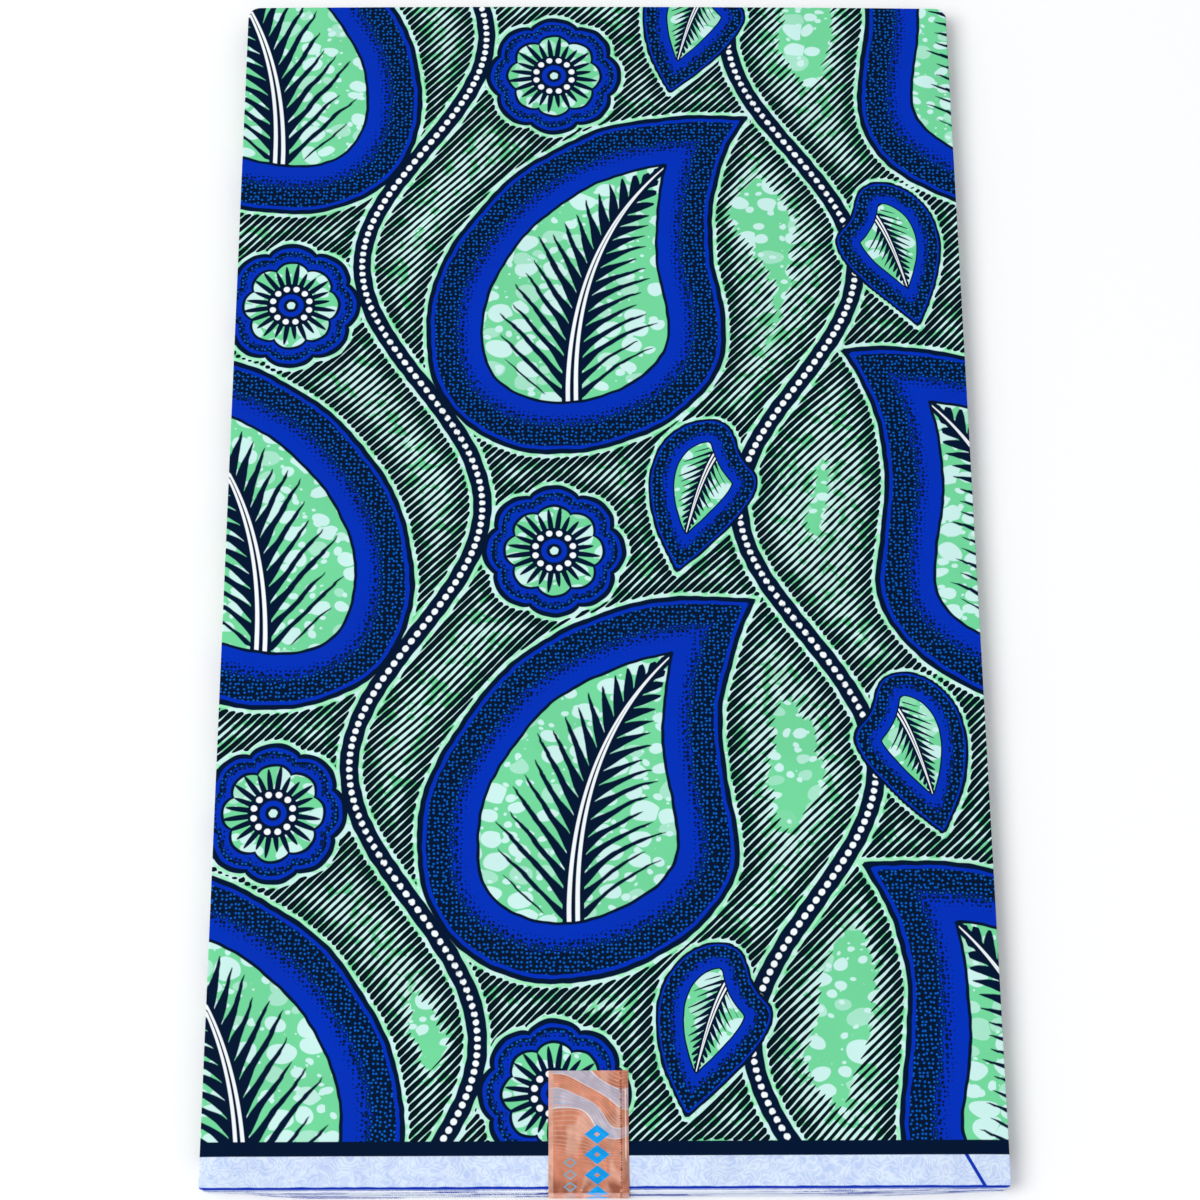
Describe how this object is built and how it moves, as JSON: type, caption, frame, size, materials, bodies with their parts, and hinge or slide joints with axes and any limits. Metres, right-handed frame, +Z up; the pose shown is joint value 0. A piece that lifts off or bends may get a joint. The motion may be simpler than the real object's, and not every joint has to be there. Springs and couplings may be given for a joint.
{
  "type": "folded african wax print fabric length",
  "caption": "Flat folded pack of blue and mint wax print cotton cloth, selvedges at the near edge, closed by a plain copper foil label.",
  "frame": {"origin": "on the table, under the middle of the folded pack with its label", "axes": "+Y from the selvedges to the long fold, +Z up, +X to the right as seen from the selvedges"},
  "size_m": [0.3428, 0.5866, 0.0128],
  "materials": {
    "printed_cotton": "plain-woven printed cotton with a slight calendered sheen",
    "label_foil": "copper-coloured metallised film, glossy, slightly creased"
  },
  "bodies": {
    "root": {"face_panel": "printed_cotton", "folded_layers": "printed_cotton", "under_panel": "printed_cotton", "label": "label_foil"}
  },
  "joints": []
}
